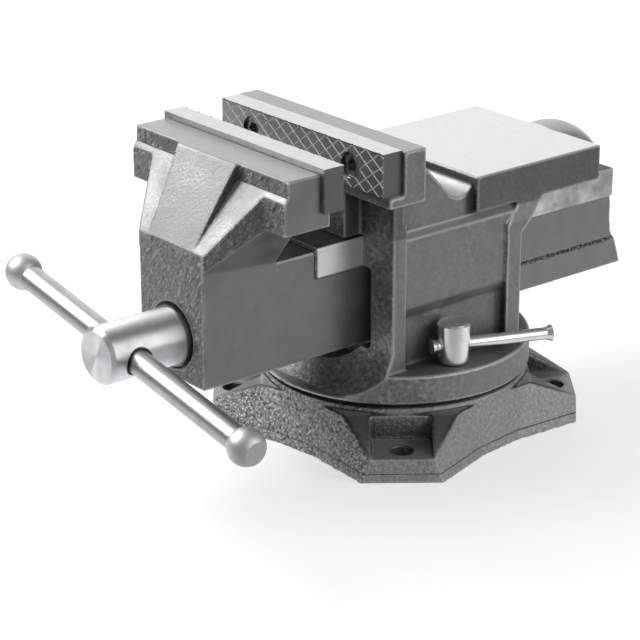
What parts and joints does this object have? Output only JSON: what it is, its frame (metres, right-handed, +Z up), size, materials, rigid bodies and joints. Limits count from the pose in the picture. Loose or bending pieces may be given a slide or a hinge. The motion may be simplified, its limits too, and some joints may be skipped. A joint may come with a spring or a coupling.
{
  "type": "bench vise",
  "caption": "Bench vise with serrated jaw plates, flat anvil and horn, sliding tommy-bar screw and a lockable turntable base with bolt-down lobes.",
  "frame": {"origin": "on the bench plane, under the swivel axis, at the centre of the bench bolt circle", "axes": "+X along the jaws, +Y from the screw handle towards the anvil, +Z up"},
  "size_m": [0.1562, 0.2601, 0.1335],
  "materials": {
    "body_casting": "grey painted casting with machined anvil and guide faces",
    "base_casting": "coarse grey painted casting",
    "jaw_steel": "hardened steel, ground on top and serrated on the gripping face",
    "black_screws": "black oxide steel",
    "turned_steel": "bright turned and plated steel",
    "spring_steel": "oiled spring wire",
    "nut_casting": "plain cast iron"
  },
  "bodies": {
    "base": {"swivel_base": "base_casting"},
    "body": {"vise_body": "body_casting", "lock_plate": "base_casting", "fixed_jaw_plate": "jaw_steel", "fixed_jaw_screws": "black_screws", "main_nut": "nut_casting", "nut_bolt": "black_screws", "nut_dowel": "turned_steel"},
    "jaw": {"moving_jaw": "body_casting", "moving_jaw_plate": "jaw_steel", "moving_jaw_screws": "black_screws"},
    "screw": {"main_screw": "turned_steel", "thrust_washer": "turned_steel", "spring_washer": "turned_steel", "take_up_spring": "spring_steel", "split_pin": "turned_steel"},
    "handle": {"handle_bar": "turned_steel", "handle_ball_left": "turned_steel", "handle_ball_right": "turned_steel"},
    "right_lock": {"lock_bolt_right": "turned_steel"},
    "right_lock_bar": {"lock_bar_right": "turned_steel"},
    "left_lock": {"lock_bolt_left": "turned_steel"},
    "left_lock_bar": {"lock_bar_left": "turned_steel"}
  },
  "joints": [
    {"name": "swivel", "type": "hinge", "parent": "base", "child": "body", "pos_m": [0, 0, 0.024], "axis": [0, 0, 1], "continuous": true},
    {"name": "jaw_slide", "type": "slide", "parent": "body", "child": "jaw", "axis": [0, 1, 0], "range_m": [-0.081, 0.0188]},
    {"name": "screw_spin", "type": "hinge", "parent": "jaw", "child": "screw", "pos_m": [0, -0.1138, 0.0616], "axis": [0, 1, 0], "range_deg": [-5830, 1350]},
    {"name": "handle_slide", "type": "slide", "parent": "screw", "child": "handle", "axis": [0.9833, 0, -0.1822], "range_m": [-0.0605, 0.0509]},
    {"name": "right_lock_turn", "type": "hinge", "parent": "body", "child": "right_lock", "pos_m": [0.0446, -0.0074, 0.0372], "axis": [0, 0, 1], "range_deg": [0, 22.1]},
    {"name": "right_lock_bar_slide", "type": "slide", "parent": "right_lock", "child": "right_lock_bar", "axis": [0.3714, 0.9285, 0], "range_m": [-0.0045, 0]},
    {"name": "left_lock_turn", "type": "hinge", "parent": "body", "child": "left_lock", "pos_m": [-0.0446, -0.0074, 0.0372], "axis": [0, 0, 1], "range_deg": [-22.1, 0]},
    {"name": "left_lock_bar_slide", "type": "slide", "parent": "left_lock", "child": "left_lock_bar", "axis": [-0.3714, 0.9285, 0], "range_m": [-0.0045, 0]}
  ],
  "couplings": [
    {"joint": "jaw_slide", "follows": "screw_spin", "m_per_rad": 0.00079577}
  ]
}
